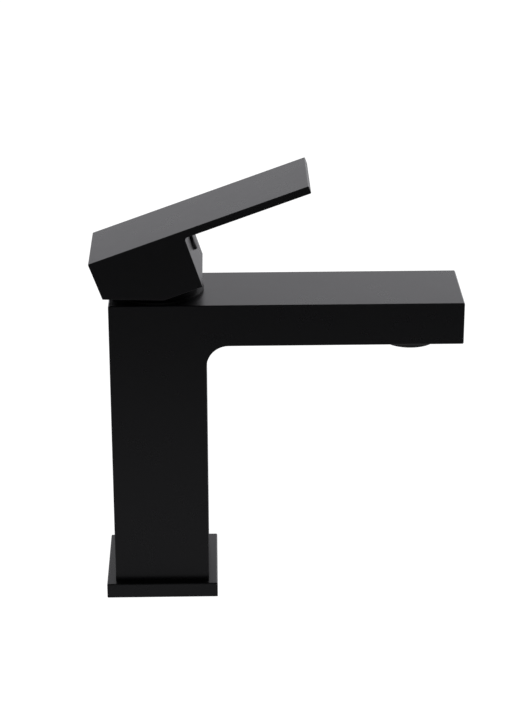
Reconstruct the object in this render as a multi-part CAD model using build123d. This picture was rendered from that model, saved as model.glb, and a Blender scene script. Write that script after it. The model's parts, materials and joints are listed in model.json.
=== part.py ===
from build123d import *
import math
import os

# A square single-lever basin mixer, standing on its deck with the lever lifted.
# Millimetres, +Z up, +X along the spout, origin at the centre of the base plate's underside.

# Base plate
flange_margin = 3.85
flange_height = 6.7
flange_bore_radius = 17.0
gasket_outer_radius = 22.0
gasket_inner_radius = 18.8
gasket_thickness = 1.8
gasket_gap = 0.1

# Column and spout
column_side = 42.3
body_height = 139.5
spout_reach = 133.15
spout_height = 19.0
spout_wall = 3.0
throat_radius = 9.7
edge_radius = 0.6

# Column's foot, inside the base plate
spigot_gap = 0.2
spigot_lift = 1.5
o_ring_section = 0.8
o_ring_play = 0.05
inlet_thread_radius = 5.0
inlet_thread_depth = 12.0
inlet_thread_wall = 2.4
inlet_thread_angle = 62.0
stud_thread_radius = 4.0
stud_thread_depth = 15.0
stud_thread_wall = 2.8

# Waterways
channel_wall = 3.25
channel_web = 3.0
channel_floor = 20.5
channel_roof_depth = 41.5
riser_wall = 2.25
riser_radius = 3.0
passage_radius = 2.2
mixing_roof = 3.5
mixing_height = 6.3
mixing_slot_width = 4.4
mixing_front_wall = 2.3
spout_start_wall = 2.6
passage_lift = 1.2

# Cartridge seat and ports
cartridge_radius = 17.4
cartridge_gap = 0.2
chamber_depth = 26.2
inlet_port_radius = 3.0
inlet_port_x = 4.2
inlet_port_y = 6.6
outlet_port_radius = 3.4
outlet_port_x = -5.5
peg_radius = 1.8
peg_length = 3.0
peg_gap = 0.1
peg_x = 2.0
peg_inset = 3.4
peg_hole_spare = 0.3
seal_width = 1.3
seal_groove = 1.2
seal_rise = 0.2
seal_play = 0.05

# Cartridge stack
base_thickness = 5.0
fixed_disc_inset = 3.4
fixed_disc_thickness = 4.0
moving_disc_inset = 4.9
moving_disc_thickness = 3.5
kidney_width = 4.0
kidney_angle = 22.0
notch_half_width = 1.7
notch_depth = 1.2
rib_gap = 0.2
mixing_pocket_depth = 1.4
mixing_pocket_land = 2.1
mixing_pocket_edge = 3.6
lug_half_width = 1.8
lug_inset = 0.2
lug_thickness = 1.6
lug_depth = 1.3
lug_play = 0.1
carrier_inset = 6.0
carrier_height = 5.0
slide_gap = 0.3
guide_flange_inset = 3.4
guide_flange_thickness = 2.0
guide_neck_radius = 9.9
guide_top_rise = 0.5
neck_gap = 0.3
guide_slot_half_length = 6.8
stem_side_gap = 0.15
guide_ring_section = 0.6
guide_ring_play = 0.2
guide_ring_drop = 3.6

# Cartridge housing
housing_skin = 1.5
housing_shoulder_inset = 1.6
housing_ledge_height = 9.7
housing_roof = 1.4
carrier_headroom = 0.8
housing_neck_radius = 12.0
housing_neck_height = 7.0

# Cartridge nut and trim cap
nut_step = 0.4
nut_gap = 0.1
nut_roof_gap = 0.2
nut_drop = 0.2
nut_collar_gap = 0.3
nut_collar_rise = 2.1
nut_hex_inset = 2.6
nut_hex_height = 2.4
nut_hex_root = 0.2
nut_bore_gap = 0.2
cap_wall = 1.2
cap_foot_cover = 2.3
cap_foot_height = 1.0
cap_height = 6.9
cap_round = 3.4
cap_roof = 2.1
cap_lip = 0.6
cap_bore_gap = 0.4

# Stem
pivot_rise = 1.9
pin_radius = 1.5
pin_seat_gap = 0.02
pin_run_gap = 0.05
pin_end_gap = 0.6
stem_side = 8.0
stem_top = 21.0
stem_square_foot = 7.0
stem_neck_radius = 2.2
ball_radius = 3.0
ball_gap = 0.15
ball_foot_gap = 0.4
stem_lean = 12.5

# Lever, sizes with the lever down
lever_lift = 20.0
handle_length_overhang = 0.35
handle_width_overhang = 0.05
handle_front_draft = 0.55
handle_foot_drop = 0.4
handle_height = 26.3
plate_reach = 78.9
plate_thickness = 3.4
bevel_start = 3.2
bevel_height = 9.2
plate_corner_radius = 1.3
handle_edge_radius = 0.4
pocket_wall = 2.2
pocket_height = 20.3
insert_wall = 1.1
insert_gap = 0.05
insert_foot = 10.5
insert_top = 21.2
socket_wall = 1.3
socket_top_gap = 0.2
stem_top_chamfer = 0.5
screw_height = 13.3
screw_radius = 2.45
screw_gap = 0.05
screw_length = 8.0
screw_socket_flats = 2.5
screw_socket_depth = 3.0
screw_access_radius = 3.1
screw_boss_radius = 5.0
screw_boss_reach = 16.0
plug_gap = 0.05
plug_length = 3.0
plug_head_radius = 3.4
plug_head_height = 1.3
plug_head_round = 0.9

# Aerator
outlet_setback = 22.15
aerator_ring_radius = 12.2
aerator_ring_height = 5.2
aerator_thread_radius = 11.4
aerator_thread_gap = 0.1
aerator_thread_height = 6.85
aerator_wall = 1.5
aerator_lip_radius = 8.9
aerator_lip_height = 1.2
aerator_chamfer = 0.5
aerator_fit = 0.1
washer_inner_radius = 9.3
washer_thickness = 1.3
washer_gap = 0.1
boss_wall = 3.0
boss_roof = 1.5
boss_mouth_radius = 9.2
grid_height = 2.6
grid_hole_radius = 1.0
grid_pitch = 2.5
grid_rings = 3
jet_height = 6.4
jet_wall = 1.0
jet_plate = 1.6
jet_hole_radius = 0.55
jet_circle_radius = 6.5
jet_count = 12
strainer_height = 1.6
strainer_hole_radius = 0.5
strainer_pitch = 2.0
strainer_rings = 4

overshoot = 1.0

# Places worked out from the sizes above
column_half = column_side / 2
flange_half = column_half + flange_margin
spout_floor = body_height - spout_height
spigot_radius = flange_bore_radius - spigot_gap
seat_height = body_height - chamber_depth
thread_circle = spigot_radius - inlet_thread_wall - inlet_thread_radius
inlet_thread_x = thread_circle * math.cos(math.radians(inlet_thread_angle))
inlet_thread_y = thread_circle * math.sin(math.radians(inlet_thread_angle))
stud_thread_x = -(spigot_radius - stud_thread_wall - stud_thread_radius)
peg_y = cartridge_radius - peg_inset
fixed_disc_radius = cartridge_radius - fixed_disc_inset
notch_start = fixed_disc_radius - notch_depth
moving_disc_radius = cartridge_radius - moving_disc_inset
carrier_radius = cartridge_radius - carrier_inset
guide_flange_radius = cartridge_radius - guide_flange_inset
housing_shoulder_radius = cartridge_radius - housing_shoulder_inset
nut_radius = cartridge_radius + nut_step
nut_collar_radius = housing_shoulder_radius + nut_collar_gap
cap_foot_radius = nut_radius + nut_gap + cap_foot_cover
handle_side = column_side + 2 * handle_length_overhang
handle_width = column_side + 2 * handle_width_overhang
base_top = seat_height + base_thickness
fixed_disc_low = base_top + seal_rise
moving_disc_low = fixed_disc_low + fixed_disc_thickness
carrier_low = moving_disc_low + moving_disc_thickness
guide_low = carrier_low + carrier_height + slide_gap
housing_roof_low = guide_low + guide_flange_thickness + slide_gap
housing_shoulder_top = housing_roof_low + housing_roof
housing_ledge = base_top + housing_ledge_height
pivot_height = body_height + pivot_rise
housing_top = pivot_height + housing_neck_height - pivot_rise
guide_top = housing_top + guide_top_rise
ball_arm = pivot_height - (carrier_low + ball_foot_gap + ball_radius)
rest_lean = stem_lean - lever_lift
disc_shift = -ball_arm * math.sin(math.radians(rest_lean))
outlet_x = spout_reach - outlet_setback
boss_radius = aerator_thread_radius + aerator_thread_gap + boss_wall
washer_low = spout_floor + aerator_thread_height
boss_seat = washer_low + washer_thickness
aerator_low = spout_floor - aerator_ring_height
aerator_bore = aerator_thread_radius - aerator_wall
aerator_core_radius = aerator_bore - aerator_fit
grid_low = aerator_low + aerator_lip_height
jet_low = grid_low + grid_height
strainer_low = jet_low + jet_height

lever_place = Pos(0, 0, pivot_height) * Rot(0, -lever_lift, 0)
stem_in_lever = Rot(0, stem_lean, 0)
stem_place = lever_place * stem_in_lever


def rod(radius, low, high, x=0.0, y=0.0):
    """Upright cylinder between two heights."""
    return Pos(x, y, (low + high) / 2) * Cylinder(radius, high - low)


def ring(outer, inner, low, high, x=0.0, y=0.0):
    """Upright tube between two heights."""
    return rod(outer, low, high, x, y) - rod(inner, low - overshoot, high + overshoot, x, y)


def rod_along_x(radius, start, end, y, z):
    """Cylinder along X."""
    return Pos((start + end) / 2, y, z) * Rot(0, 90, 0) * Cylinder(radius, end - start)


def rod_along_y(radius, half_length, z):
    """Cylinder along Y, centred on the XZ plane."""
    return Pos(0, 0, z) * Rot(90, 0, 0) * Cylinder(radius, 2 * half_length)


def block(x_low, x_high, half_width, z_low, z_high, y=0.0):
    """Box between two X and two Z values, centred on y."""
    middle = Pos((x_low + x_high) / 2, y, (z_low + z_high) / 2)
    return middle * Box(x_high - x_low, 2 * half_width, z_high - z_low)


def turned(points, x=0.0):
    """Solid of revolution about an upright axis, from (radius, height) points."""
    profile = Plane.XZ * make_face(Polyline(*points, close=True))
    return Pos(x, 0, 0) * revolve(profile, Axis.Z)


def slab_from_side_view(points, half_width):
    """Solid with the given outline in the XZ plane, centred on Y."""
    outline = Plane.XZ * make_face(Polyline(*points, close=True))
    return extrude(outline, half_width, both=True)


def ports():
    """Radius and place of each of the cartridge's three ports."""
    return [
        (inlet_port_radius, inlet_port_x, inlet_port_y),
        (inlet_port_radius, inlet_port_x, -inlet_port_y),
        (outlet_port_radius, outlet_port_x, 0.0),
    ]


# ---------------------------------------------------------------- base plate


def gasket_edges(clearance):
    """Inner and outer radius of the gasket's groove."""
    return gasket_inner_radius - clearance, gasket_outer_radius + clearance


def base_flange():
    plate = block(-flange_half, flange_half, flange_half, 0, flange_height)
    plate = fillet(plate.edges().filter_by(Axis.Z), edge_radius)
    plate = fillet(plate.faces().sort_by(Axis.Z)[-1].edges(), edge_radius)
    inner, outer = gasket_edges(gasket_gap)
    plate -= rod(flange_bore_radius, -overshoot, flange_height + overshoot)
    plate -= ring(outer, inner, -overshoot, gasket_thickness)
    return plate


def base_gasket():
    inner, outer = gasket_edges(0.0)
    return ring(outer, inner, 0, gasket_thickness)


def spigot_groove_height():
    """Height of the O-ring's middle on the spigot."""
    return (spigot_lift + flange_height) / 2


def body_o_ring():
    middle = flange_bore_radius - o_ring_play - o_ring_section
    return Pos(0, 0, spigot_groove_height()) * Torus(middle, o_ring_section)


# ---------------------------------------------------------------- body


def body_outside():
    """Column and spout in one, with the rounded throat and edges."""
    shape = slab_from_side_view(
        [
            (-column_half, flange_height),
            (column_half, flange_height),
            (column_half, spout_floor),
            (spout_reach, spout_floor),
            (spout_reach, body_height),
            (-column_half, body_height),
        ],
        column_half,
    )
    throat = [
        edge
        for edge in shape.edges().filter_by(Axis.Y)
        if abs(edge.center().X - column_half) < 0.01 and abs(edge.center().Z - spout_floor) < 0.01
    ]
    shape = fillet(throat, throat_radius)
    outer = [edge for edge in shape.edges() if is_outer_edge(edge)]
    return fillet(outer, edge_radius)


def is_outer_edge(edge):
    """True for the body's sharp outer edges, not for its foot or the ends of the throat."""
    middle = edge.center()
    on_foot = middle.Z < flange_height + 0.01
    straight_across = abs(edge.tangent_at(0.5).Y) > 0.99
    throat_end = straight_across and middle.Z < spout_floor + 0.01 and middle.X < spout_reach - 0.01
    return not on_foot and not throat_end


def spigot():
    """The column's round foot, with the O-ring's groove."""
    foot = rod(spigot_radius, spigot_lift, flange_height)
    middle = spigot_groove_height()
    half = o_ring_section + o_ring_play
    floor = flange_bore_radius - 2 * (o_ring_play + o_ring_section)
    return foot - ring(spigot_radius + overshoot, floor, middle - half, middle + half)


def foot_threads():
    """The two hose threads with their passages, and the fixing stud's thread."""
    top = spigot_lift + inlet_thread_depth
    cuts = [rod(stud_thread_radius, 0, spigot_lift + stud_thread_depth, stud_thread_x)]
    for y in (inlet_thread_y, -inlet_thread_y):
        cuts.append(rod(inlet_thread_radius, 0, top, inlet_thread_x, y))
        cuts.append(rod(inlet_port_radius, 0, channel_floor + overshoot, inlet_thread_x, y))
    return cuts


def inlet_channels():
    """The two upright channels in the column, and the ports from them to the seat."""
    half = column_half - channel_wall
    roof = body_height - channel_roof_depth
    middle = (half + channel_web / 2) / 2
    half_width = (half - channel_web / 2) / 2
    cuts = []
    for side in (1, -1):
        cuts.append(block(-half, half, half_width, channel_floor, roof, side * middle))
        cuts.append(rod(inlet_port_radius, roof - overshoot, seat_height, inlet_port_x, side * inlet_port_y))
    return cuts


def mixed_water_way():
    """From the outlet port through the cross chamber and the two risers to the spout."""
    roof = seat_height - mixing_roof
    floor = roof - mixing_height
    corner = column_half - riser_wall - riser_radius
    chamber_half = corner + riser_radius
    slot_start = outlet_port_x - outlet_port_radius
    mixing_front_x = inlet_port_x + inlet_port_radius + mixing_front_wall
    spout_half = column_half - spout_wall
    spout_start = nut_radius + nut_gap + spout_start_wall
    passage_height = spout_floor + spout_wall + passage_radius + passage_lift
    cuts = [
        rod(outlet_port_radius, roof - overshoot, seat_height, outlet_port_x),
        block(slot_start, mixing_front_x + overshoot, mixing_slot_width / 2, floor, roof),
        block(mixing_front_x, chamber_half, chamber_half, floor, roof),
        block(
            spout_start,
            spout_reach - spout_wall,
            spout_half,
            spout_floor + spout_wall,
            body_height - spout_wall,
        ),
    ]
    for side in (1, -1):
        cuts.append(rod(riser_radius, floor, passage_height + passage_radius, corner, side * corner))
        cuts.append(
            rod_along_x(passage_radius, corner, spout_start + overshoot, side * corner, passage_height)
        )
    return cuts


def cartridge_chamber():
    """The seat's bore, the nut's thread above it and the holes for the locating pegs."""
    cuts = [
        rod(cartridge_radius + cartridge_gap, seat_height, body_height + overshoot),
        rod(nut_radius + nut_gap, housing_ledge - overshoot, body_height + overshoot),
    ]
    for y in (peg_y, -peg_y):
        depth = peg_length + peg_hole_spare
        cuts.append(rod(peg_radius + peg_gap, seat_height - depth, seat_height + overshoot, peg_x, y))
    return cuts


def body_casting():
    body = body_outside() + spigot()
    for cut in inlet_channels() + foot_threads() + mixed_water_way() + cartridge_chamber():
        body -= cut
    body += rod(boss_radius, spout_floor + edge_radius, boss_seat + boss_roof, outlet_x)
    thread_bore = aerator_thread_radius + aerator_thread_gap
    body -= rod(thread_bore, spout_floor - overshoot, boss_seat, outlet_x)
    body -= rod(boss_mouth_radius, boss_seat - overshoot, boss_seat + boss_roof + overshoot, outlet_x)
    return body


# ---------------------------------------------------------------- cartridge


def cartridge_base():
    foot = rod(cartridge_radius, seat_height, base_top)
    for y in (peg_y, -peg_y):
        foot += rod(peg_radius, seat_height - peg_length, seat_height + overshoot, peg_x, y)
    for radius, x, y in ports():
        seat = radius + seal_width + seal_play
        foot -= rod(radius, seat_height - overshoot, base_top + overshoot, x, y)
        foot -= rod(seat, seat_height - overshoot, seat_height + seal_groove, x, y)
        foot -= rod(seat, base_top - seal_groove, base_top + overshoot, x, y)
    return foot


def seal_set(low, high):
    """Three separate rings, one round each port."""
    return Compound([
        ring(radius + seal_width, radius + seal_play, low, high, x, y).solid()
        for radius, x, y in ports()
    ])


def seat_seals():
    return seal_set(seat_height, seat_height + seal_groove)


def disc_seals():
    return seal_set(base_top - seal_groove, fixed_disc_low)


def kidney(side):
    """Curved inlet slot through the fixed disc."""
    reach = math.hypot(inlet_port_x, inlet_port_y)
    middle = math.degrees(math.atan2(inlet_port_y, inlet_port_x))
    start = side * middle - kidney_angle / 2
    outline = SlotArc(CenterArc((0, 0), reach, start, kidney_angle), kidney_width)
    return Pos(0, 0, fixed_disc_low - overshoot) * extrude(outline, fixed_disc_thickness + 2 * overshoot)


def fixed_disc():
    disc = rod(fixed_disc_radius, fixed_disc_low, moving_disc_low)
    low, high = fixed_disc_low - overshoot, moving_disc_low + overshoot
    disc -= rod(outlet_port_radius, low, high, outlet_port_x)
    for side in (1, -1):
        disc -= kidney(side)
        notch_middle = side * (notch_start + fixed_disc_radius)
        disc -= block(-notch_half_width, notch_half_width, fixed_disc_radius, low, high, notch_middle)
    return disc


def moving_disc():
    disc = rod(moving_disc_radius, moving_disc_low, carrier_low)
    pocket_radius = moving_disc_radius - mixing_pocket_land
    pocket = rod(pocket_radius, moving_disc_low - overshoot, moving_disc_low + mixing_pocket_depth)
    pocket -= block(
        mixing_pocket_edge, moving_disc_radius, moving_disc_radius,
        moving_disc_low - 2 * overshoot, carrier_low,
    )
    disc -= pocket
    for side in (1, -1):
        disc -= driving_lug(side, lug_play)
    return Pos(disc_shift, 0, 0) * disc


def driving_lug(side, clearance):
    """Lug of the disc carrier, or its socket in the moving disc when given a clearance."""
    half_width = lug_half_width + clearance
    half_depth = lug_thickness / 2 + clearance
    middle = side * (carrier_radius - lug_inset - lug_thickness / 2)
    low = carrier_low - lug_depth - clearance
    return block(-half_width, half_width, half_depth, low, carrier_low + overshoot, middle)


def disc_carrier():
    carrier = rod(carrier_radius, carrier_low, carrier_low + carrier_height)
    for side in (1, -1):
        carrier += driving_lug(side, 0.0)
    carrier -= rod(ball_radius + ball_gap, carrier_low - overshoot, guide_low + overshoot)
    return Pos(disc_shift, 0, 0) * carrier


def cartridge_housing():
    lower_bore = cartridge_radius - housing_skin
    upper_bore = guide_flange_radius + slide_gap
    neck_bore = guide_neck_radius + neck_gap
    carrier_clear = carrier_low + carrier_headroom
    shell = turned([
        (lower_bore, base_top),
        (cartridge_radius, base_top),
        (cartridge_radius, housing_ledge),
        (housing_shoulder_radius, housing_ledge),
        (housing_shoulder_radius, housing_shoulder_top),
        (housing_neck_radius, housing_shoulder_top),
        (housing_neck_radius, housing_top),
        (neck_bore, housing_top),
        (neck_bore, housing_roof_low),
        (upper_bore, housing_roof_low),
        (upper_bore, carrier_clear),
        (lower_bore, carrier_clear),
    ])
    rib_start = notch_start + rib_gap
    rib_half = notch_half_width - rib_gap
    rib_end = lower_bore + housing_skin / 2
    for side in (1, -1):
        middle = side * (rib_start + rib_end) / 2
        depth = (rib_end - rib_start) / 2
        shell += block(-rib_half, rib_half, depth, fixed_disc_low, moving_disc_low - rib_gap, middle)
    return shell


def guide_ring_middle():
    """Height of the guide O-ring's middle."""
    return pivot_height - guide_ring_drop


def guide_ring_radius():
    """Radius of the circle that the guide O-ring's section follows."""
    return guide_neck_radius + neck_gap - guide_ring_play - guide_ring_section


def guide_o_ring():
    return Pos(0, 0, guide_ring_middle()) * Torus(guide_ring_radius(), guide_ring_section)


def stem_guide():
    guide = rod(guide_flange_radius, guide_low, guide_low + guide_flange_thickness)
    guide += rod(guide_neck_radius, guide_low, guide_top)
    groove_floor = guide_ring_radius() - guide_ring_section - o_ring_play
    groove_half = guide_ring_section + o_ring_play
    groove_low = guide_ring_middle() - groove_half
    groove_high = guide_ring_middle() + groove_half
    guide -= ring(guide_neck_radius + overshoot / 2, groove_floor, groove_low, groove_high)
    half_width = stem_side / 2 + stem_side_gap
    low, high = guide_low - overshoot, guide_top + overshoot
    guide -= block(-guide_slot_half_length, guide_slot_half_length, half_width, low, high)
    guide -= rod_along_y(pin_radius + pin_seat_gap, guide_neck_radius + overshoot, pivot_height)
    return guide


def pivot_pin():
    return rod_along_y(pin_radius, guide_neck_radius - pin_end_gap, pivot_height)


def stem():
    """Modelled about its pivot with its axis upright, then leant to its place."""
    half = stem_side / 2
    shank = block(-half, half, half, -stem_square_foot, stem_top)
    shank = chamfer(shank.faces().sort_by(Axis.Z)[-1].edges(), stem_top_chamfer)
    shank += rod(stem_neck_radius, -ball_arm, -stem_square_foot + overshoot)
    shank += Pos(0, 0, -ball_arm) * Sphere(ball_radius)
    shank -= rod_along_y(pin_radius + pin_run_gap, stem_side, 0)
    return stem_place * shank


def cartridge_nut():
    nut_low = housing_ledge
    nut_shoulder = body_height - nut_drop
    collar_top = nut_shoulder + nut_drop + nut_collar_rise
    pocket = housing_shoulder_radius + nut_bore_gap
    bore = housing_neck_radius + nut_bore_gap
    nut = turned([
        (pocket, nut_low),
        (nut_radius, nut_low),
        (nut_radius, nut_shoulder),
        (nut_collar_radius, nut_shoulder),
        (nut_collar_radius, collar_top),
        (bore, collar_top),
        (bore, housing_shoulder_top + nut_roof_gap),
        (pocket, housing_shoulder_top + nut_roof_gap),
    ])
    hexagon = RegularPolygon(nut_collar_radius - nut_hex_inset, 6, major_radius=False)
    head = Pos(0, 0, collar_top - nut_hex_root) * extrude(hexagon, nut_hex_height + nut_hex_root)
    head -= rod(bore, collar_top - overshoot, collar_top + nut_hex_height + overshoot)
    return nut + head


def trim_cap():
    inner = nut_collar_radius + nut_gap
    wall = inner + cap_wall
    bore = housing_neck_radius + cap_bore_gap
    top = body_height + cap_height
    foot = body_height + cap_foot_height
    roof = top - cap_roof
    cap = turned([
        (inner, body_height),
        (cap_foot_radius, body_height),
        (cap_foot_radius, foot),
        (wall, foot),
        (wall, top),
        (bore, top),
        (bore, roof),
        (inner, roof),
    ])
    rim = cap.edges().filter_by(GeomType.CIRCLE).filter_by(
        lambda edge: abs(edge.radius - wall) < 0.01 and abs(edge.center().Z - top) < 0.01
    )
    return fillet(rim, min(cap_round, wall - bore - cap_lip))


# ---------------------------------------------------------------- lever


def screw_depth():
    """Distance along the set screw's axis from the stem's axis to the block's front face."""
    lean = math.radians(stem_lean)
    return handle_side / 2 * math.cos(lean) - screw_height * math.sin(lean)


def screw_level():
    """Height of the set screw's axis along the stem, from the pivot."""
    lean = math.radians(stem_lean)
    return handle_side / 2 * math.sin(lean) + screw_height * math.cos(lean)


def front_face_x(z):
    """X of the block's sloping front face at a height, with the lever down."""
    plate_low = handle_height - plate_thickness
    slope = handle_front_draft / (plate_low + handle_foot_drop)
    return handle_side / 2 - slope * (plate_low - z)


def handle_outside():
    half = handle_side / 2
    plate_low = handle_height - plate_thickness
    shape = slab_from_side_view(
        [
            (bevel_start, -handle_foot_drop),
            (front_face_x(-handle_foot_drop), -handle_foot_drop),
            (half, plate_low),
            (plate_reach, plate_low),
            (plate_reach, handle_height),
            (-half, handle_height),
            (-half, bevel_height),
        ],
        handle_width / 2,
    )
    corner = [
        edge
        for edge in shape.edges().filter_by(Axis.Y)
        if abs(edge.center().X - half) < 0.01 and abs(edge.center().Z - plate_low) < 0.01
    ]
    shape = fillet(corner, plate_corner_radius)
    outer = [edge for edge in shape.edges() if is_sharp_handle_edge(edge, half, plate_low)]
    return fillet(outer, handle_edge_radius)


def is_sharp_handle_edge(edge, half, plate_low):
    """True for the lever's outer edges, not for the two ends of the corner under the plate."""
    middle = edge.center()
    across = abs(edge.tangent_at(0.5).Y) > 0.99
    near_x = abs(middle.X - half) < plate_corner_radius + 0.01
    near_z = abs(middle.Z - plate_low) < plate_corner_radius + 0.01
    return not (across and near_x and near_z)


def handle():
    """Modelled about the pivot with the lever down, then lifted to its place."""
    half = handle_side / 2
    socket_half = stem_side / 2 + insert_gap + insert_wall + insert_gap
    boss_half = socket_half + socket_wall
    depth = screw_depth()
    level = screw_level()
    shape = handle_outside()
    shape -= rod(half - pocket_wall, -overshoot, pocket_height)
    socket = block(-boss_half, boss_half, boss_half, insert_foot, handle_height - plate_thickness)
    socket += rod_along_x(screw_boss_radius, 0, screw_boss_reach, 0, level)
    shape += stem_in_lever * socket
    cuts = block(
        -socket_half, socket_half, socket_half, insert_foot - overshoot, insert_top + socket_top_gap
    )
    cuts += rod_along_x(screw_radius + screw_gap, 0, depth, 0, level)
    cuts += rod_along_x(
        screw_access_radius, stem_side / 2 + screw_length, depth + 2 * overshoot, 0, level
    )
    return lever_place * (shape - stem_in_lever * cuts)


def handle_insert():
    inner = stem_side / 2 + insert_gap
    outer = inner + insert_wall
    sleeve = block(-outer, outer, outer, insert_foot, insert_top)
    sleeve -= block(-inner, inner, inner, insert_foot - overshoot, insert_top + overshoot)
    sleeve -= rod_along_x(screw_radius + 2 * screw_gap, 0, outer + overshoot, 0, screw_level())
    return stem_place * sleeve


def set_screw():
    start = stem_side / 2
    end = start + screw_length
    screw = rod_along_x(screw_radius, start, end, 0, screw_level())
    hexagon = Plane.YZ * RegularPolygon(screw_socket_flats / 2, 6, major_radius=False)
    key_hole = extrude(hexagon, screw_socket_depth + overshoot)
    screw -= Pos(end - screw_socket_depth, 0, screw_level()) * key_hole
    return stem_place * screw


def screw_plug():
    """Round-headed plug that closes the set screw's hole in the block's front face."""
    seat = front_face_x(screw_height + plug_head_radius) + plug_gap
    head = rod_along_x(plug_head_radius, seat, seat + plug_head_height, 0, screw_height)
    head = fillet(head.faces().sort_by(Axis.X)[-1].edges(), plug_head_round)
    depth = screw_depth()
    shank = rod_along_x(
        screw_access_radius - plug_gap, depth - plug_length, depth + plug_length, 0, screw_level()
    )
    shank = stem_in_lever * shank
    shank -= block(
        seat + plug_head_height / 2, seat + 2 * plug_length, 2 * plug_head_radius, 0, handle_height
    )
    return lever_place * (head + shank)


# ---------------------------------------------------------------- aerator


def aerator_housing():
    ring_top = spout_floor
    thread_top = washer_low
    return turned(
        [
            (aerator_lip_radius, aerator_low),
            (aerator_ring_radius - aerator_chamfer, aerator_low),
            (aerator_ring_radius, aerator_low + aerator_chamfer),
            (aerator_ring_radius, ring_top),
            (aerator_thread_radius, ring_top),
            (aerator_thread_radius, thread_top),
            (aerator_bore, thread_top),
            (aerator_bore, grid_low),
            (aerator_lip_radius, grid_low),
        ],
        outlet_x,
    )


def aerator_washer():
    outer = aerator_thread_radius + aerator_thread_gap - washer_gap
    return ring(outer, washer_inner_radius, washer_low, boss_seat, outlet_x)


def aerator_strainer():
    disc = rod(aerator_core_radius, strainer_low, strainer_low + strainer_height, outlet_x)
    for row in range(1, strainer_rings + 1):
        for number in range(6 * row):
            angle = 2 * math.pi * number / (6 * row)
            x = outlet_x + row * strainer_pitch * math.cos(angle)
            y = row * strainer_pitch * math.sin(angle)
            low, high = strainer_low - overshoot, strainer_low + strainer_height + overshoot
            disc -= rod(strainer_hole_radius, low, high, x, y)
    return disc


def aerator_insert():
    top = strainer_low
    cup = rod(aerator_core_radius, jet_low, top, outlet_x)
    cup -= rod(aerator_core_radius - jet_wall, jet_low - overshoot, top - jet_plate, outlet_x)
    for number in range(jet_count):
        angle = 2 * math.pi * number / jet_count
        x = outlet_x + jet_circle_radius * math.cos(angle)
        y = jet_circle_radius * math.sin(angle)
        cup -= rod(jet_hole_radius, jet_low, top + overshoot, x, y)
    return cup


def aerator_grid():
    grid = rod(aerator_core_radius, grid_low, jet_low, outlet_x)
    for row in range(-grid_rings, grid_rings + 1):
        count = 2 * grid_rings + 1 - abs(row)
        for number in range(count):
            x = outlet_x + (number - (count - 1) / 2) * grid_pitch
            y = row * grid_pitch * math.sqrt(3) / 2
            grid -= rod(grid_hole_radius, grid_low - overshoot, jet_low + overshoot, x, y)
    return grid


# ---------------------------------------------------------------- output

makers = [
    base_flange,
    base_gasket,
    body_o_ring,
    body_casting,
    cartridge_base,
    seat_seals,
    disc_seals,
    fixed_disc,
    moving_disc,
    disc_carrier,
    cartridge_housing,
    stem_guide,
    guide_o_ring,
    pivot_pin,
    stem,
    cartridge_nut,
    trim_cap,
    handle,
    handle_insert,
    set_screw,
    screw_plug,
    aerator_housing,
    aerator_washer,
    aerator_strainer,
    aerator_insert,
    aerator_grid,
]

os.makedirs("parts", exist_ok=True)
for make in makers:
    export_step(make(), f"parts/{make.__name__}.step")
print("ball arm", round(ball_arm, 3), "disc shift", round(disc_shift, 4))
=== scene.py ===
"""Looks of a square single-lever basin mixer, laid out as an add-on: finishes, threads, aerator, studio."""
import json
import math

import bmesh
import bpy
from bpy.props import FloatProperty, FloatVectorProperty, IntProperty, PointerProperty
from mathutils import Matrix, Vector


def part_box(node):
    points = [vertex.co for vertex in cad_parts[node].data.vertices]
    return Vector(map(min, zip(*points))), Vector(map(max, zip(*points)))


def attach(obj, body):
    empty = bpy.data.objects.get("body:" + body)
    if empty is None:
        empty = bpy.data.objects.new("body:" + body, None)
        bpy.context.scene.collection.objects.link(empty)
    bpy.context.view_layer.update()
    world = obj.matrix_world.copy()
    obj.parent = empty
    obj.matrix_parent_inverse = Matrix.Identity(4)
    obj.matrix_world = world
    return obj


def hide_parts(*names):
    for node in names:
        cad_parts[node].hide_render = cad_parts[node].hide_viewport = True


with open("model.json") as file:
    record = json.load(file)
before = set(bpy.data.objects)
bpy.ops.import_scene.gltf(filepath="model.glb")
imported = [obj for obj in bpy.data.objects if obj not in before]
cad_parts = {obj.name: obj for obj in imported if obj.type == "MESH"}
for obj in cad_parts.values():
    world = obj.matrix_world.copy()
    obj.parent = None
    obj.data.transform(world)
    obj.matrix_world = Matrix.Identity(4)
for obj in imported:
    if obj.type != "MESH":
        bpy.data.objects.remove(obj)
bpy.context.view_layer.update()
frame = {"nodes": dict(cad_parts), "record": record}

bl_info = {
    "name": "Square Basin Mixer",
    "version": (1, 0, 0),
    "blender": (4, 5, 0),
    "location": "View3D > Sidebar > Mixer",
    "description": "Finishes and details of a square single-lever basin mixer",
    "category": "Object",
}

MM = 0.001

COOL_WHITE = (0.965, 0.96, 1.0, 1.0)
BARE_RADIUS = 17.0 * MM
BARE_HEIGHT = 17.0 * MM
FLOOR_DROP = 0.05 * MM
THREAD_SINK = 0.05 * MM
RING_HEIGHT = 5.2 * MM
RING_STEP = 0.8 * MM
RING_BORE = 9.9 * MM
LIP_RADIUS = 8.9 * MM
LIP_HEIGHT = 1.2 * MM
LIP_ROUND = 0.15 * MM
NOTCH_INNER = 9.3 * MM
NOTCH_OUTER = 10.5 * MM
NOTCH_DEPTH = 0.8 * MM
NOTCH_STEPS = 9
GRID_RIM = 0.9 * MM
MOTTLE_IN_ROUGHNESS = 0.6
MOTTLE_IN_COLOUR = 2.0

# Where the room's and the mirrored floor's brightness starts and stops changing: the room's by direction,
# the floor's in metres in front of and behind the mixer
DEPTH_RISE = (-0.3, 0.5)
SIDE_RISE = (-0.6, 0.6)
HEIGHT_RISE = (0.0, 0.65)
FRONT_FLOOR = (-0.52, -0.06)
BACK_FLOOR = (0.0, 0.45)

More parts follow.
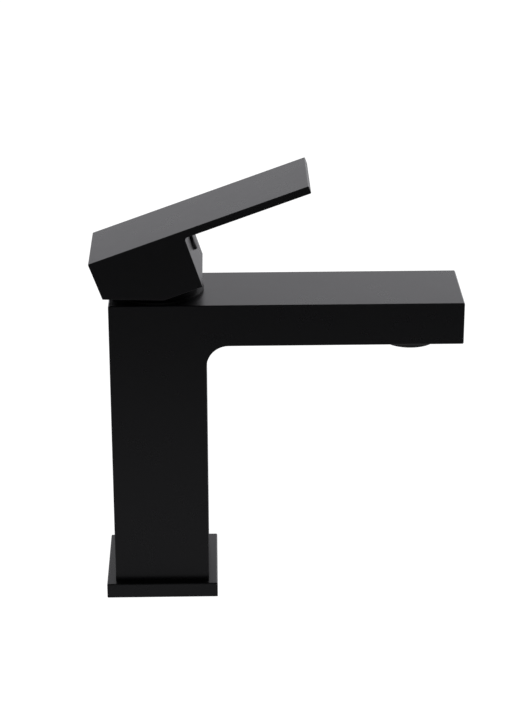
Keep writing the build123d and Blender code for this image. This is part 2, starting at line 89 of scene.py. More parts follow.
COATED_NODES = ("base_flange", "handle")
RUBBER_NODES = (
    "base_gasket", "body_o_ring", "seat_seals", "disc_seals", "guide_o_ring", "aerator_washer",
)
CARTRIDGE_NODES = (
    "cartridge_housing", "cartridge_base", "disc_carrier", "stem_guide", "handle_insert",
)
CERAMIC_NODES = ("fixed_disc", "moving_disc")
BRASS_NODES = ("cartridge_nut", "stem")
STEEL_NODES = ("pivot_pin", "set_screw")
AERATOR_PLASTIC_NODES = ("aerator_strainer", "aerator_insert")
PLUG_NODES = ("screw_plug",)


# ---------------------------------------------------------------- settings


class MixerFinish(bpy.types.PropertyGroup):
    """Colours and surface texture of the visible finishes."""

    coat_colour: FloatVectorProperty(
        name="Coating", description="Colour of the baked black coating",
        default=(0.0026, 0.0026, 0.0035), size=3, subtype="COLOR", min=0.0, max=1.0,
    )
    # The collar's colour is darker than the coating's, as painted shade under the lever
    collar_colour_and_shade: FloatVectorProperty(
        name="Collar colour", description="Colour of the collar under the lever",
        default=(0.002, 0.002, 0.0022), size=3, min=0.0, max=1.0, subtype="COLOR",
    )
    ring_colour: FloatVectorProperty(
        name="Ring colour", description="Colour of the outlet ring's coating",
        default=(0.014, 0.014, 0.0145), size=3, min=0.0, max=1.0, subtype="COLOR",
    )
    coat_roughness: FloatProperty(
        name="Coating roughness", description="Roughness of the black coating",
        default=0.28, min=0.05, max=1.0, subtype="FACTOR",
    )
    grain_size: FloatProperty(
        name="Grain size", description="Size of the coating's fine powder grain",
        default=0.45 * MM, min=0.05 * MM, max=5 * MM, unit="LENGTH", precision=5,
    )
    grain_height: FloatProperty(
        name="Grain height", description="Height of the coating's fine powder grain",
        default=0.002 * MM, min=0.0, max=0.1 * MM, unit="LENGTH", precision=6,
    )
    brass_colour: FloatVectorProperty(
        name="Brass", description="Colour of the bare machined brass",
        default=(0.72, 0.50, 0.22), size=3, subtype="COLOR", min=0.0, max=1.0,
    )
    plastic_colour: FloatVectorProperty(
        name="Cartridge plastic", description="Colour of the cartridge's moulded plastic",
        default=(0.58, 0.58, 0.56), size=3, subtype="COLOR", min=0.0, max=1.0,
    )
    grid_colour: FloatVectorProperty(
        name="Aerator plastic", description="Colour of the aerator's moulded plastic",
        default=(0.02, 0.02, 0.021), size=3, subtype="COLOR", min=0.0, max=1.0,
    )


class MixerThreads(bpy.types.PropertyGroup):
    """Tapped threads in the column's foot."""

    hose_pitch: FloatProperty(
        name="Hose thread pitch", description="Pitch of the two hose inlets' threads",
        default=1.0 * MM, min=0.2 * MM, unit="LENGTH", precision=4,
    )
    stud_pitch: FloatProperty(
        name="Stud thread pitch", description="Pitch of the fixing stud's thread",
        default=1.25 * MM, min=0.2 * MM, unit="LENGTH", precision=4,
    )
    ridge_depth: FloatProperty(
        name="Ridge depth", description="Depth of a thread's ridge as a share of its pitch",
        default=0.54, min=0.1, max=0.8, subtype="FACTOR",
    )
    steps_per_turn: IntProperty(
        name="Steps per turn", description="Number of faces round one turn of a thread",
        default=32, min=8, max=96,
    )


class MixerAerator(bpy.types.PropertyGroup):
    """Flow straightener in the spout's outlet."""

    cell_pitch: FloatProperty(
        name="Cell pitch", description="Distance between the honeycomb's cells",
        default=2.3 * MM, min=1.0 * MM, unit="LENGTH", precision=4,
    )
    cell_wall: FloatProperty(
        name="Cell wall", description="Wall between the honeycomb's cells",
        default=0.4 * MM, min=0.1 * MM, unit="LENGTH", precision=5,
    )
    key_notches: IntProperty(
        name="Key notches", description="Number of notches for the aerator's key",
        default=12, min=2, max=48,
    )


class MixerStudio(bpy.types.PropertyGroup):
    """Camera, floor and light."""

    camera_place: FloatVectorProperty(
        name="Camera", description="Where the camera stands",
        default=(25.4 * MM, -902.5 * MM, 476.6 * MM), size=3, subtype="TRANSLATION", unit="LENGTH",
    )
    camera_yaw: FloatProperty(
        name="Yaw", description="Turn of the camera to the right of +Y",
        default=math.radians(1.32), subtype="ANGLE",
    )
    camera_pitch: FloatProperty(
        name="Pitch", description="Tilt of the camera below the horizon",
        default=math.radians(22.12), subtype="ANGLE",
    )
    camera_roll: FloatProperty(
        name="Roll", description="Turn of the camera about its line of sight",
        default=math.radians(0.08), subtype="ANGLE",
    )
    lens: FloatProperty(
        name="Lens", description="Focal length in millimetres on a sensor 36 mm high",
        default=112.2, min=10.0, max=300.0,
    )
    floor_radius: FloatProperty(
        name="Floor radius", description="Radius of the pale floor",
        default=4.0, min=0.5, unit="LENGTH",
    )
    floor_tone: FloatProperty(
        name="Floor tone", description="Brightness of the pale floor where nothing shades it",
        default=1.06, min=0.0, max=1.5,
    )
    back_light: FloatProperty(
        name="Back light", description="Brightness of the studio behind the mixer",
        default=0.89, min=0.0,
    )
    side_light: FloatProperty(
        name="Side light", description="How much brighter the studio is on the right than on the left",
        default=0.42, min=0.0, max=1.0,
    )
    low_light: FloatProperty(
        name="Low light", description="How much brighter the studio is near the floor than overhead",
        default=0.5, min=0.0, max=1.0,
    )
    front_light: FloatProperty(
        name="Front light", description="Brightness of the studio on the camera's side",
        default=0.12, min=0.0,
    )
    floor_near: FloatProperty(
        name="Mirrored floor", description="Brightness of the mirrored floor close to the mixer",
        default=0.22, min=0.0,
    )
    floor_front: FloatProperty(
        name="Mirrored front floor", description="Brightness of the mirrored floor far in front of the mixer",
        default=0.02, min=0.0,
    )
    floor_back: FloatProperty(
        name="Mirrored back floor", description="Brightness of the mirrored floor far behind the mixer",
        default=0.54, min=0.0,
    )


# ---------------------------------------------------------------- mesh helpers


def finished_piece(name, mesh_work, body, material, replaced=()):
    """Turns a finished bmesh into a piece that rides on a body of the mixer."""
    mesh = bpy.data.meshes.new(name)
    bmesh.ops.recalc_face_normals(mesh_work, faces=mesh_work.faces)
    mesh_work.to_mesh(mesh)
    mesh_work.free()
    piece = bpy.data.objects.new(name, mesh)
    bpy.context.scene.collection.objects.link(piece)
    mesh.materials.append(material)
    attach(piece, body)
    if replaced:
        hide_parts(*replaced)


def mount(name):
    """The record's entry for a named mount."""
    for entry in frame["record"]["mounts"]:
        if entry["name"] == name:
            return entry
    raise ValueError("the frame has no mount called " + name)


def node_span(name, axis):
    """Lowest and highest value of a CAD node along an axis."""
    low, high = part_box(name)
    return low[axis], high[axis]


def new_edges(work, points, closed):
    """Adds a line of points to a bmesh and returns its vertices and edges."""
    corners = [work.verts.new(point) for point in points]
    pairs = list(zip(corners, corners[1:]))
    if closed:
        pairs.append((corners[-1], corners[0]))
    return corners + [work.edges.new(pair) for pair in pairs]


def lathe(work, profile, centre, steps):
    """Turns a closed outline of (radius, height) points about an upright axis."""
    points = [(centre[0] + radius, centre[1], height) for radius, height in profile]
    outline = new_edges(work, points, True)
    bmesh.ops.spin(
        work, geom=outline, cent=(centre[0], centre[1], 0.0), axis=(0.0, 0.0, 1.0),
        angle=2 * math.pi, steps=steps, use_merge=True, use_duplicate=False,
    )


# ---------------------------------------------------------------- threads


def thread_ridge(name, mount_name, pitch, settings, material):
    """Ridge of an internal thread, wound up the wall of a stated bore."""
    bore = mount(mount_name)
    radius = bore["dims"]["r_mm"] * MM
    length = bore["dims"]["length_mm"] * MM
    x, y, low = bore["pos_m"]
    crest = radius - settings.ridge_depth * pitch
    root = radius + THREAD_SINK
    turns = int(length / pitch) - 1
    steps = settings.steps_per_turn
    start = low + pitch / 2
    profile = (
        (root, start - 0.46 * pitch),
        (crest, start - 0.07 * pitch),
        (crest, start + 0.07 * pitch),
        (root, start + 0.46 * pitch),
    )
    work = bmesh.new()
    outline = new_edges(work, [(x + distance, y, height) for distance, height in profile], True)
    bmesh.ops.spin(
        work, geom=outline, cent=(x, y, 0.0), axis=(0.0, 0.0, 1.0), dvec=(0.0, 0.0, pitch / steps),
        angle=2 * math.pi * turns, steps=steps * turns, use_merge=False, use_duplicate=False,
    )
    ends = [edge for edge in work.edges if edge.is_boundary]
    bmesh.ops.holes_fill(work, edges=ends, sides=4)
    finished_piece(name, work, "tap_body", material)


# ---------------------------------------------------------------- aerator


def aerator_centre():
    """X and Y of the outlet's axis."""
    left, right = node_span("aerator_housing", 0)
    front, back = node_span("aerator_housing", 1)
    return (left + right) / 2, (front + back) / 2


def notched_ring(settings, material):
    """Screw-in ring of the aerator, with key notches in its lower face."""
    centre = aerator_centre()
    low, high = node_span("aerator_housing", 2)
    left, right = node_span("aerator_housing", 0)
    outer = (right - left) / 2
    rim = low + RING_HEIGHT
    profile = (
        (LIP_RADIUS, low + LIP_ROUND),
        (LIP_RADIUS + LIP_ROUND, low),
        (NOTCH_INNER, low),
        (NOTCH_OUTER, low),
        (outer - 0.55 * MM, low),
        (outer - 0.18 * MM, low + 0.12 * MM),
        (outer, low + 0.5 * MM),
        (outer, rim),
        (outer - RING_STEP, rim),
        (outer - RING_STEP, high),
        (RING_BORE, high),
        (RING_BORE, low + LIP_HEIGHT),
        (LIP_RADIUS, low + LIP_HEIGHT),
    )
    work = bmesh.new()
    steps = settings.key_notches * NOTCH_STEPS
    lathe(work, profile, centre, steps)
    chosen = []
    for face in work.faces:
        middle = face.calc_center_median()
        distance = math.hypot(middle.x - centre[0], middle.y - centre[1])
        angle = math.atan2(middle.y - centre[1], middle.x - centre[0]) % (2 * math.pi)
        sector = int(angle / (2 * math.pi) * steps) % NOTCH_STEPS
        flat = abs(middle.z - low) < 0.01 * MM
        if flat and NOTCH_INNER < distance < NOTCH_OUTER and sector < NOTCH_STEPS // 3:
            chosen.append(face)
    raised = bmesh.ops.extrude_face_region(work, geom=chosen)["geom"]
    bmesh.ops.delete(work, geom=chosen, context="FACES_ONLY")
    tops = [item for item in raised if isinstance(item, bmesh.types.BMVert)]
    bmesh.ops.translate(work, verts=tops, vec=(0.0, 0.0, NOTCH_DEPTH))
    finished_piece("aerator_ring", work, "tap_body", material, ("aerator_housing",))


def honeycomb(settings, material):
    """Flow straightener of six-sided cells."""
    centre = aerator_centre()
    low, high = node_span("aerator_grid", 2)
    left, right = node_span("aerator_grid", 0)
    reach = (right - left) / 2
    cell = settings.cell_pitch / math.sqrt(3)
    hole = cell - settings.cell_wall / math.sqrt(3)
    work = bmesh.new()
    rows = int(reach / settings.cell_pitch) + 2
    for row in range(-rows, rows + 1):
        for number in range(-rows, rows + 1):
            x = centre[0] + (number + row / 2) * settings.cell_pitch
            y = centre[1] + row * settings.cell_pitch * math.sqrt(3) / 2
            if math.hypot(x - centre[0], y - centre[1]) + cell < reach:
                add_cell(work, x, y, low, cell, hole)
    bmesh.ops.remove_doubles(work, verts=work.verts, dist=0.02 * MM)
    walls = bmesh.ops.extrude_face_region(work, geom=work.faces[:], use_keep_orig=True)["geom"]
    tops = [item for item in walls if isinstance(item, bmesh.types.BMVert)]
    bmesh.ops.translate(work, verts=tops, vec=(0.0, 0.0, high - low))
    rim_low = low + 0.05 * MM
    lathe(
        work,
        ((reach - GRID_RIM, rim_low), (reach, rim_low), (reach, high), (reach - GRID_RIM, high)),
        centre, 72,
    )
    finished_piece("aerator_honeycomb", work, "tap_body", material, ("aerator_grid",))


def add_cell(work, x, y, height, cell, hole):
    """Flat six-sided frame round one cell's hole."""
    turn = Matrix.Translation((x, y, height)) @ Matrix.Rotation(math.pi / 6, 4, "Z")
    outer = bmesh.ops.create_circle(work, segments=6, radius=cell, matrix=turn)["verts"]
    inner = bmesh.ops.create_circle(work, segments=6, radius=hole, matrix=turn)["verts"]
    edges = {edge for vert in outer + inner for edge in vert.link_edges}
    bmesh.ops.bridge_loops(work, edges=list(edges))


# ---------------------------------------------------------------- material helpers


def socket(group, name, kind, in_out, default=None):
    """Adds a named socket to a node group."""
    made = group.interface.new_socket(name=name, in_out=in_out, socket_type=kind)
    if default is not None:
        made.default_value = default


def link_chain(tree, *pairs):
    """Joins pairs of sockets."""
    for start, end in pairs:
        tree.links.new(start, end)


def noise(tree, vector, scale, detail):
    """A noise texture read at a vector."""
    node = tree.nodes.new("ShaderNodeTexNoise")
    node.inputs["Scale"].default_value = scale
    node.inputs["Detail"].default_value = detail
    tree.links.new(vector, node.inputs["Vector"])
    return node


def math_node(tree, operation, first, second):
    """A math node of two inputs, each a socket or a number."""
    node = tree.nodes.new("ShaderNodeMath")
    node.operation = operation
    for number, value in enumerate((first, second)):
        if isinstance(value, (int, float)):
            node.inputs[number].default_value = value
        else:
            tree.links.new(value, node.inputs[number])
    return node.outputs[0]


def grain_group():
    """Fine grain and slow mottling, shared by the coating, the plastics and the rubber."""
    known = bpy.data.node_groups.get("Fine grain")
    if known:
        return known
    group = bpy.data.node_groups.new("Fine grain", "ShaderNodeTree")
    socket(group, "Vector", "NodeSocketVector", "INPUT")
    socket(group, "Colour", "NodeSocketColor", "INPUT", (0.5, 0.5, 0.5, 1.0))
    socket(group, "Roughness", "NodeSocketFloat", "INPUT", 0.4)
    socket(group, "Grain per Metre", "NodeSocketFloat", "INPUT", 2000.0)
    socket(group, "Grain Height", "NodeSocketFloat", "INPUT", 0.000004)
    socket(group, "Mottle", "NodeSocketFloat", "INPUT", 0.1)
    socket(group, "Colour", "NodeSocketColor", "OUTPUT")
    socket(group, "Roughness", "NodeSocketFloat", "OUTPUT")
    socket(group, "Height", "NodeSocketFloat", "OUTPUT")
    start = group.nodes.new("NodeGroupInput")
    end = group.nodes.new("NodeGroupOutput")
    fine = noise(group, start.outputs["Vector"], 1.0, 2.0)
    group.links.new(start.outputs["Grain per Metre"], fine.inputs["Scale"])
    slow = noise(group, start.outputs["Vector"], 38.0, 3.0)
    smear = noise(group, start.outputs["Vector"], 140.0, 4.0)
    slow_swing = math_node(group, "SUBTRACT", slow.outputs["Fac"], 0.5)
    smear_swing = math_node(group, "SUBTRACT", smear.outputs["Fac"], 0.5)
    swing = math_node(group, "ADD", slow_swing, smear_swing)
    mottled = math_node(group, "MULTIPLY", swing, start.outputs["Mottle"])
    rougher = math_node(group, "MULTIPLY", mottled, MOTTLE_IN_ROUGHNESS)
    brighter = math_node(group, "ADD", 1.0, math_node(group, "MULTIPLY", mottled, MOTTLE_IN_COLOUR))
    height = math_node(group, "MULTIPLY", fine.outputs["Fac"], start.outputs["Grain Height"])
    shade = group.nodes.new("ShaderNodeVectorMath")
    shade.operation = "SCALE"
    link_chain(
        group,
        (start.outputs["Colour"], shade.inputs[0]),
        (brighter, shade.inputs["Scale"]),
        (shade.outputs[0], end.inputs["Colour"]),
        (math_node(group, "ADD", start.outputs["Roughness"], rougher), end.inputs["Roughness"]),
        (height, end.inputs["Height"]),
    )
    return group


def turning_group():
    """Fine rings left by a lathe about an upright axis, for machined metal and lapped ceramic."""
    known = bpy.data.node_groups.get("Turning marks")
    if known:
        return known
    group = bpy.data.node_groups.new("Turning marks", "ShaderNodeTree")
    socket(group, "Vector", "NodeSocketVector", "INPUT")
    socket(group, "Colour", "NodeSocketColor", "INPUT", (0.5, 0.5, 0.5, 1.0))
    socket(group, "Roughness", "NodeSocketFloat", "INPUT", 0.3)
    socket(group, "Marks per Metre", "NodeSocketFloat", "INPUT", 2500.0)
    socket(group, "Mark Height", "NodeSocketFloat", "INPUT", 0.000003)
    socket(group, "Colour", "NodeSocketColor", "OUTPUT")
    socket(group, "Roughness", "NodeSocketFloat", "OUTPUT")
    socket(group, "Height", "NodeSocketFloat", "OUTPUT")
    start = group.nodes.new("NodeGroupInput")
    end = group.nodes.new("NodeGroupOutput")
    rings = group.nodes.new("ShaderNodeTexWave")
    rings.wave_type = "RINGS"
    rings.rings_direction = "Z"
    rings.inputs["Distortion"].default_value = 0.6
    rings.inputs["Detail"].default_value = 2.0
    stain = noise(group, start.outputs["Vector"], 90.0, 4.0)
    tint = math_node(group, "ADD", 0.82, math_node(group, "MULTIPLY", stain.outputs["Fac"], 0.36))
    shade = group.nodes.new("ShaderNodeVectorMath")
    shade.operation = "SCALE"
    swing = math_node(group, "MULTIPLY", math_node(group, "SUBTRACT", stain.outputs["Fac"], 0.5), 0.2)
    height = math_node(group, "MULTIPLY", rings.outputs["Fac"], start.outputs["Mark Height"])
    link_chain(
        group,
        (start.outputs["Vector"], rings.inputs["Vector"]),
        (start.outputs["Marks per Metre"], rings.inputs["Scale"]),
        (start.outputs["Colour"], shade.inputs[0]),
        (tint, shade.inputs["Scale"]),
        (shade.outputs[0], end.inputs["Colour"]),
        (math_node(group, "ADD", start.outputs["Roughness"], swing), end.inputs["Roughness"]),
        (height, end.inputs["Height"]),
    )
    return group


def textured_material(name, group, colour, values, metallic=0.0, specular=0.5):
    """A material whose colour, roughness and relief come from a shared node group."""
    known = bpy.data.materials.get(name)
    if known:
        return known
    material = bpy.data.materials.new(name)
    material.use_nodes = True
    tree = material.node_tree
    shader = tree.nodes["Principled BSDF"]
    place = tree.nodes.new("ShaderNodeTexCoord")
    effect = tree.nodes.new("ShaderNodeGroup")
    effect.node_tree = group
    effect.inputs["Colour"].default_value = (*colour, 1.0)
    for key, value in values.items():
        effect.inputs[key].default_value = value
    relief = tree.nodes.new("ShaderNodeBump")
    relief.inputs["Distance"].default_value = 1.0
    link_chain(
        tree,
        (place.outputs["Object"], effect.inputs["Vector"]),
        (effect.outputs["Colour"], shader.inputs["Base Color"]),
        (effect.outputs["Roughness"], shader.inputs["Roughness"]),
        (effect.outputs["Height"], relief.inputs["Height"]),
        (relief.outputs["Normal"], shader.inputs["Normal"]),
    )
    shader.inputs["Metallic"].default_value = metallic
    shader.inputs["Specular IOR Level"].default_value = specular
    return material


def black_coating(finish):
    """Satin black coating of the castings and the lever."""
    values = {
        "Roughness": finish.coat_roughness,
        "Grain per Metre": 1.0 / finish.grain_size,
        "Grain Height": finish.grain_height,
        "Mottle": 0.06,
    }
    return textured_material("Satin black coating", grain_group(), finish.coat_colour, values)


def ring_coating(finish):
    """The outlet ring's own coating, a little greyer than the castings'."""
    values = {
        "Roughness": 0.36,
        "Grain per Metre": 1.0 / finish.grain_size,
        "Grain Height": finish.grain_height,
        "Mottle": 0.12,
    }
    return textured_material("Satin black ring", grain_group(), finish.ring_colour, values)


def collar_coating_and_shade(finish):
    """The collar under the lever is made duller and blacker than the castings: painted shade, standing in for
    the shade that falls under the lever.
    """
    values = {"Roughness": 0.4, "Grain per Metre": 3000.0, "Grain Height": 0.002 * MM, "Mottle": 0.1}
    colour = finish.collar_colour_and_shade
    # The darker colour and the low specular level paint the shade under the lever onto the collar
    return textured_material("Collar black and painted shade", grain_group(), colour, values, specular=0.12)


def casting_coating(finish):
    """The castings' coating, left off the casting's foot and its inlet bores, which are bare brass."""
    known = bpy.data.materials.get("Coated casting")
    if known:
        return known
    material = black_coating(finish).copy()
    material.name = "Coated casting"
    tree = material.node_tree
    shader = tree.nodes["Principled BSDF"]
    effect = next(node for node in tree.nodes if node.bl_idname == "ShaderNodeGroup")
    place = next(node for node in tree.nodes if node.bl_idname == "ShaderNodeTexCoord")
    parts = tree.nodes.new("ShaderNodeSeparateXYZ")
    tree.links.new(place.outputs["Object"], parts.inputs[0])
    across = math_node(tree, "MULTIPLY", parts.outputs["X"], parts.outputs["X"])
    along = math_node(tree, "MULTIPLY", parts.outputs["Y"], parts.outputs["Y"])
    inside = math_node(tree, "LESS_THAN", math_node(tree, "ADD", across, along), BARE_RADIUS ** 2)
    low = math_node(tree, "LESS_THAN", parts.outputs["Z"], BARE_HEIGHT)
    bare = math_node(tree, "MULTIPLY", inside, low)
    tint = tree.nodes.new("ShaderNodeMix")
    tint.data_type = "RGBA"
    colour_inputs = [item for item in tint.inputs if item.type == "RGBA"]
    colour_inputs[1].default_value = (*finish.brass_colour, 1.0)
    link_chain(
        tree,
        (bare, tint.inputs["Factor"]),
        (effect.outputs["Colour"], colour_inputs[0]),
        (next(item for item in tint.outputs if item.type == "RGBA"), shader.inputs["Base Color"]),
        (bare, shader.inputs["Metallic"]),
    )
    return material


def bare_brass(finish):
    values = {"Roughness": 0.28, "Marks per Metre": 1600.0, "Mark Height": 0.003 * MM}
    return textured_material("Bare brass", turning_group(), finish.brass_colour, values, metallic=1.0)


def plain_steel():
    values = {"Roughness": 0.32, "Marks per Metre": 2400.0, "Mark Height": 0.002 * MM}
    return textured_material("Plain steel", turning_group(), (0.56, 0.56, 0.57), values, metallic=1.0)


def lapped_ceramic():
    values = {"Roughness": 0.18, "Marks per Metre": 900.0, "Mark Height": 0.0002 * MM}
    return textured_material("Lapped ceramic", turning_group(), (0.83, 0.83, 0.80), values)


def cartridge_plastic(finish):
    values = {"Roughness": 0.46, "Grain per Metre": 3000.0, "Grain Height": 0.004 * MM, "Mottle": 0.1}
    return textured_material("Cartridge plastic", grain_group(), finish.plastic_colour, values)


def aerator_plastic(finish):
    values = {"Roughness": 0.42, "Grain per Metre": 3000.0, "Grain Height": 0.003 * MM, "Mottle": 0.12}
    return textured_material("Aerator plastic", grain_group(), finish.grid_colour, values)


def seal_rubber():
    values = {"Roughness": 0.62, "Grain per Metre": 4200.0, "Grain Height": 0.010 * MM, "Mottle": 0.2}
    return textured_material("Seal rubber", grain_group(), (0.018, 0.018, 0.018), values)


def wear(nodes, material):
    """Gives CAD nodes a material in place of their packed one."""
    for name in nodes:
        slots = frame["nodes"][name].data.materials
        slots.clear()
        slots.append(material)


# ---------------------------------------------------------------- operators


class MIXER_OT_finish_castings(bpy.types.Operator):
    """Coat the body, base plate and lever in satin black, and the collar in a duller black that paints the
    shade under the lever
    """

    bl_idname = "mixer.finish_castings"
    bl_label = "Finish the castings"

    def execute(self, context):
        finish = context.scene.mixer_finish
        wear(COATED_NODES, black_coating(finish))
        wear(("body_casting",), casting_coating(finish))
        wear(("trim_cap",), collar_coating_and_shade(finish))
        return {"FINISHED"}


class MIXER_OT_finish_inner_parts(bpy.types.Operator):
    """Give the seals, cartridge, stem and fasteners their own materials"""

    bl_idname = "mixer.finish_inner_parts"
    bl_label = "Finish the inner parts"

    def execute(self, context):
        finish = context.scene.mixer_finish
        wear(RUBBER_NODES, seal_rubber())
        wear(CARTRIDGE_NODES, cartridge_plastic(finish))
        wear(CERAMIC_NODES, lapped_ceramic())
        wear(BRASS_NODES, bare_brass(finish))
        wear(STEEL_NODES, plain_steel())
        wear(AERATOR_PLASTIC_NODES + PLUG_NODES, aerator_plastic(finish))
        wear(("aerator_housing", "aerator_grid"), black_coating(finish))
        return {"FINISHED"}


class MIXER_OT_cut_threads(bpy.types.Operator):
    """Add the ridges of the hose and stud threads in the column's foot"""

    bl_idname = "mixer.cut_threads"
    bl_label = "Cut the threads"

    def execute(self, context):
        threads = context.scene.mixer_threads
        brass = bare_brass(context.scene.mixer_finish)
        thread_ridge("hot_inlet_thread", "hot_inlet", threads.hose_pitch, threads, brass)
        thread_ridge("cold_inlet_thread", "cold_inlet", threads.hose_pitch, threads, brass)
        thread_ridge("stud_thread", "fixing_stud", threads.stud_pitch, threads, brass)
        return {"FINISHED"}


class MIXER_OT_build_aerator(bpy.types.Operator):
    """Build the aerator's notched ring and honeycomb"""

    bl_idname = "mixer.build_aerator"
    bl_label = "Build the aerator"

    def execute(self, context):
        finish = context.scene.mixer_finish
        settings = context.scene.mixer_aerator
        notched_ring(settings, ring_coating(finish))
        honeycomb(settings, aerator_plastic(finish))
        return {"FINISHED"}


class MIXER_OT_build_studio(bpy.types.Operator):
    """Set up the camera, the pale floor and the soft light"""

    bl_idname = "mixer.build_studio"
    bl_label = "Build the studio"

    def execute(self, context):
        studio = context.scene.mixer_studio
        add_camera(context.scene, studio)
        add_floor(context.scene, studio)
        add_sky(context.scene, studio)
        context.scene.view_settings.view_transform = "Standard"
        context.scene.view_settings.look = "None"
        return {"FINISHED"}


def add_camera(scene, studio):
    """Camera given by its place, yaw, pitch and roll."""
    yaw, pitch, roll = studio.camera_yaw, studio.camera_pitch, studio.camera_roll
    forward = Vector((math.sin(yaw) * math.cos(pitch), math.cos(yaw) * math.cos(pitch), -math.sin(pitch)))
    right = Vector((math.cos(yaw), -math.sin(yaw), 0.0))
    down = forward.cross(right)
    right_rolled = math.cos(roll) * right + math.sin(roll) * down
    down_rolled = -math.sin(roll) * right + math.cos(roll) * down
    turn = Matrix((right_rolled, -down_rolled, -forward)).transposed()
    data = bpy.data.cameras.new("Camera")
    data.lens = studio.lens
    data.sensor_width = 36.0
    data.clip_start = 0.05
    data.clip_end = 20.0
    camera = bpy.data.objects.new("Camera", data)
    camera.matrix_world = Matrix.Translation(studio.camera_place) @ turn.to_4x4()
    scene.collection.objects.link(camera)
    scene.camera = camera


def smooth_rise(tree, distance, near, far, start, end):
    """A value that rises smoothly from near to far as a distance goes from start to end."""
    ramp = tree.nodes.new("ShaderNodeMapRange")
    ramp.interpolation_type = "SMOOTHSTEP"
    ramp.inputs["From Min"].default_value = start
    ramp.inputs["From Max"].default_value = end
    ramp.inputs["To Min"].default_value = near
    ramp.inputs["To Max"].default_value = far
    tree.links.new(distance, ramp.inputs["Value"])
    return ramp.outputs["Result"]


def add_floor(scene, studio):
    """Pale round floor: evenly lit to the eye, with a darker front half where it is mirrored."""
    work = bmesh.new()
    below = Matrix.Translation((0.0, 0.0, -FLOOR_DROP))
    bmesh.ops.create_circle(
        work, cap_ends=True, cap_tris=False, segments=96, radius=studio.floor_radius, matrix=below,
    )
    mesh = bpy.data.meshes.new("floor")
    work.to_mesh(mesh)
    work.free()
    floor = bpy.data.objects.new("floor", mesh)
    scene.collection.objects.link(floor)
    mesh.materials.append(floor_material(studio))


def floor_material(studio):
    """White paper to the eye, graded from front to back where it is mirrored, and clear from below."""
    material = bpy.data.materials.new("Pale floor")
    material.use_nodes = True
    tree = material.node_tree
    paint = tree.nodes["Principled BSDF"]
    paint.inputs["Base Color"].default_value = (0.08, 0.08, 0.08, 1.0)
    paint.inputs["Roughness"].default_value = 0.9
    paint.inputs["Specular IOR Level"].default_value = 0.0
    paint.inputs["Emission Color"].default_value = (1.0, 1.0, 1.0, 1.0)
    paint.inputs["Emission Strength"].default_value = studio.floor_tone
    mirrored = tree.nodes.new("ShaderNodeEmission")
    mirrored.inputs["Color"].default_value = COOL_WHITE
    clear = tree.nodes.new("ShaderNodeBsdfTransparent")
    place = tree.nodes.new("ShaderNodeTexCoord")
    parts = tree.nodes.new("ShaderNodeSeparateXYZ")
    tree.links.new(place.outputs["Object"], parts.inputs[0])
    depth = parts.outputs["Y"]
    front = smooth_rise(tree, depth, studio.floor_front, studio.floor_near, *FRONT_FLOOR)
    back = smooth_rise(tree, depth, 0.0, studio.floor_back - studio.floor_near, *BACK_FLOOR)
    rays = tree.nodes.new("ShaderNodeLightPath")
    side = tree.nodes.new("ShaderNodeNewGeometry")
    seen = tree.nodes.new("ShaderNodeMixShader")
    faced = tree.nodes.new("ShaderNodeMixShader")
    link_chain(
        tree,
        (math_node(tree, "ADD", front, back), mirrored.inputs["Strength"]),
        (rays.outputs["Is Glossy Ray"], seen.inputs["Fac"]),
        (paint.outputs["BSDF"], seen.inputs[1]),
        (mirrored.outputs["Emission"], seen.inputs[2]),
        (side.outputs["Backfacing"], faced.inputs["Fac"]),
        (seen.outputs["Shader"], faced.inputs[1]),
        (clear.outputs["BSDF"], faced.inputs[2]),
        (faced.outputs["Shader"], tree.nodes["Material Output"].inputs["Surface"]),
    )
    return material


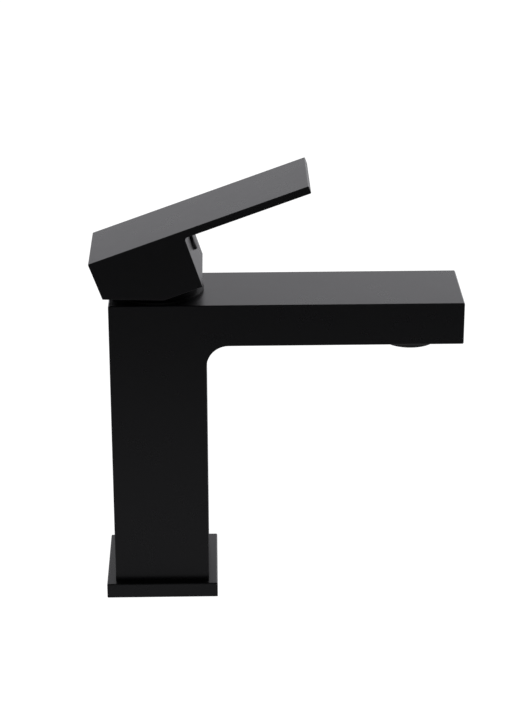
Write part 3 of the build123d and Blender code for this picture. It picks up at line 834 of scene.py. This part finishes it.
def add_sky(scene, studio):
    """White room to the eye; as a light it is brighter behind the mixer, to its right and near the floor."""
    world = bpy.data.worlds.new("Studio")
    world.use_nodes = True
    scene.world = world
    tree = world.node_tree
    room = tree.nodes["Background"]
    seen = tree.nodes.new("ShaderNodeBackground")
    place = tree.nodes.new("ShaderNodeTexCoord")
    parts = tree.nodes.new("ShaderNodeSeparateXYZ")
    tree.links.new(place.outputs["Generated"], parts.inputs[0])
    depth = smooth_rise(tree, parts.outputs["Y"], studio.front_light, studio.back_light, *DEPTH_RISE)
    left, right = 1.0 - studio.side_light, 1.0 + studio.side_light
    low, high = 1.0 + studio.low_light, 1.0 - studio.low_light
    side = smooth_rise(tree, parts.outputs["X"], left, right, *SIDE_RISE)
    height = smooth_rise(tree, parts.outputs["Z"], low, high, *HEIGHT_RISE)
    glow = math_node(tree, "MULTIPLY", math_node(tree, "MULTIPLY", depth, side), height)
    rays = tree.nodes.new("ShaderNodeLightPath")
    mix = tree.nodes.new("ShaderNodeMixShader")
    link_chain(
        tree,
        (glow, room.inputs["Strength"]),
        (rays.outputs["Is Camera Ray"], mix.inputs["Fac"]),
        (room.outputs["Background"], mix.inputs[1]),
        (seen.outputs["Background"], mix.inputs[2]),
        (mix.outputs["Shader"], tree.nodes["World Output"].inputs["Surface"]),
    )
    room.inputs["Color"].default_value = COOL_WHITE
    seen.inputs["Color"].default_value = (1.0, 1.0, 1.0, 1.0)
    seen.inputs["Strength"].default_value = 1.0


# ---------------------------------------------------------------- panel and run


class MIXER_PT_panel(bpy.types.Panel):
    """Lists the mixer's operators and settings"""

    bl_label = "Basin mixer"
    bl_idname = "MIXER_PT_panel"
    bl_space_type = "VIEW_3D"
    bl_region_type = "UI"
    bl_category = "Mixer"

    def draw(self, context):
        scene = context.scene
        for settings in (scene.mixer_finish, scene.mixer_threads, scene.mixer_aerator, scene.mixer_studio):
            box = self.layout.box()
            for name in settings.bl_rna.properties.keys():
                if name not in ("rna_type", "name"):
                    box.prop(settings, name)
        for operator in OPERATORS:
            self.layout.operator(operator.bl_idname)


OPERATORS = (
    MIXER_OT_finish_castings,
    MIXER_OT_finish_inner_parts,
    MIXER_OT_cut_threads,
    MIXER_OT_build_aerator,
    MIXER_OT_build_studio,
)
CLASSES = (MixerFinish, MixerThreads, MixerAerator, MixerStudio, *OPERATORS, MIXER_PT_panel)


def register():
    for cls in CLASSES:
        bpy.utils.register_class(cls)
    bpy.types.Scene.mixer_finish = PointerProperty(type=MixerFinish)
    bpy.types.Scene.mixer_threads = PointerProperty(type=MixerThreads)
    bpy.types.Scene.mixer_aerator = PointerProperty(type=MixerAerator)
    bpy.types.Scene.mixer_studio = PointerProperty(type=MixerStudio)


def unregister():
    del bpy.types.Scene.mixer_studio
    del bpy.types.Scene.mixer_aerator
    del bpy.types.Scene.mixer_threads
    del bpy.types.Scene.mixer_finish
    for cls in reversed(CLASSES):
        bpy.utils.unregister_class(cls)


def main():
    register()
    bpy.ops.mixer.finish_castings()
    bpy.ops.mixer.finish_inner_parts()
    bpy.ops.mixer.cut_threads()
    bpy.ops.mixer.build_aerator()
    bpy.ops.mixer.build_studio()


if __name__ == "__main__":
    main()
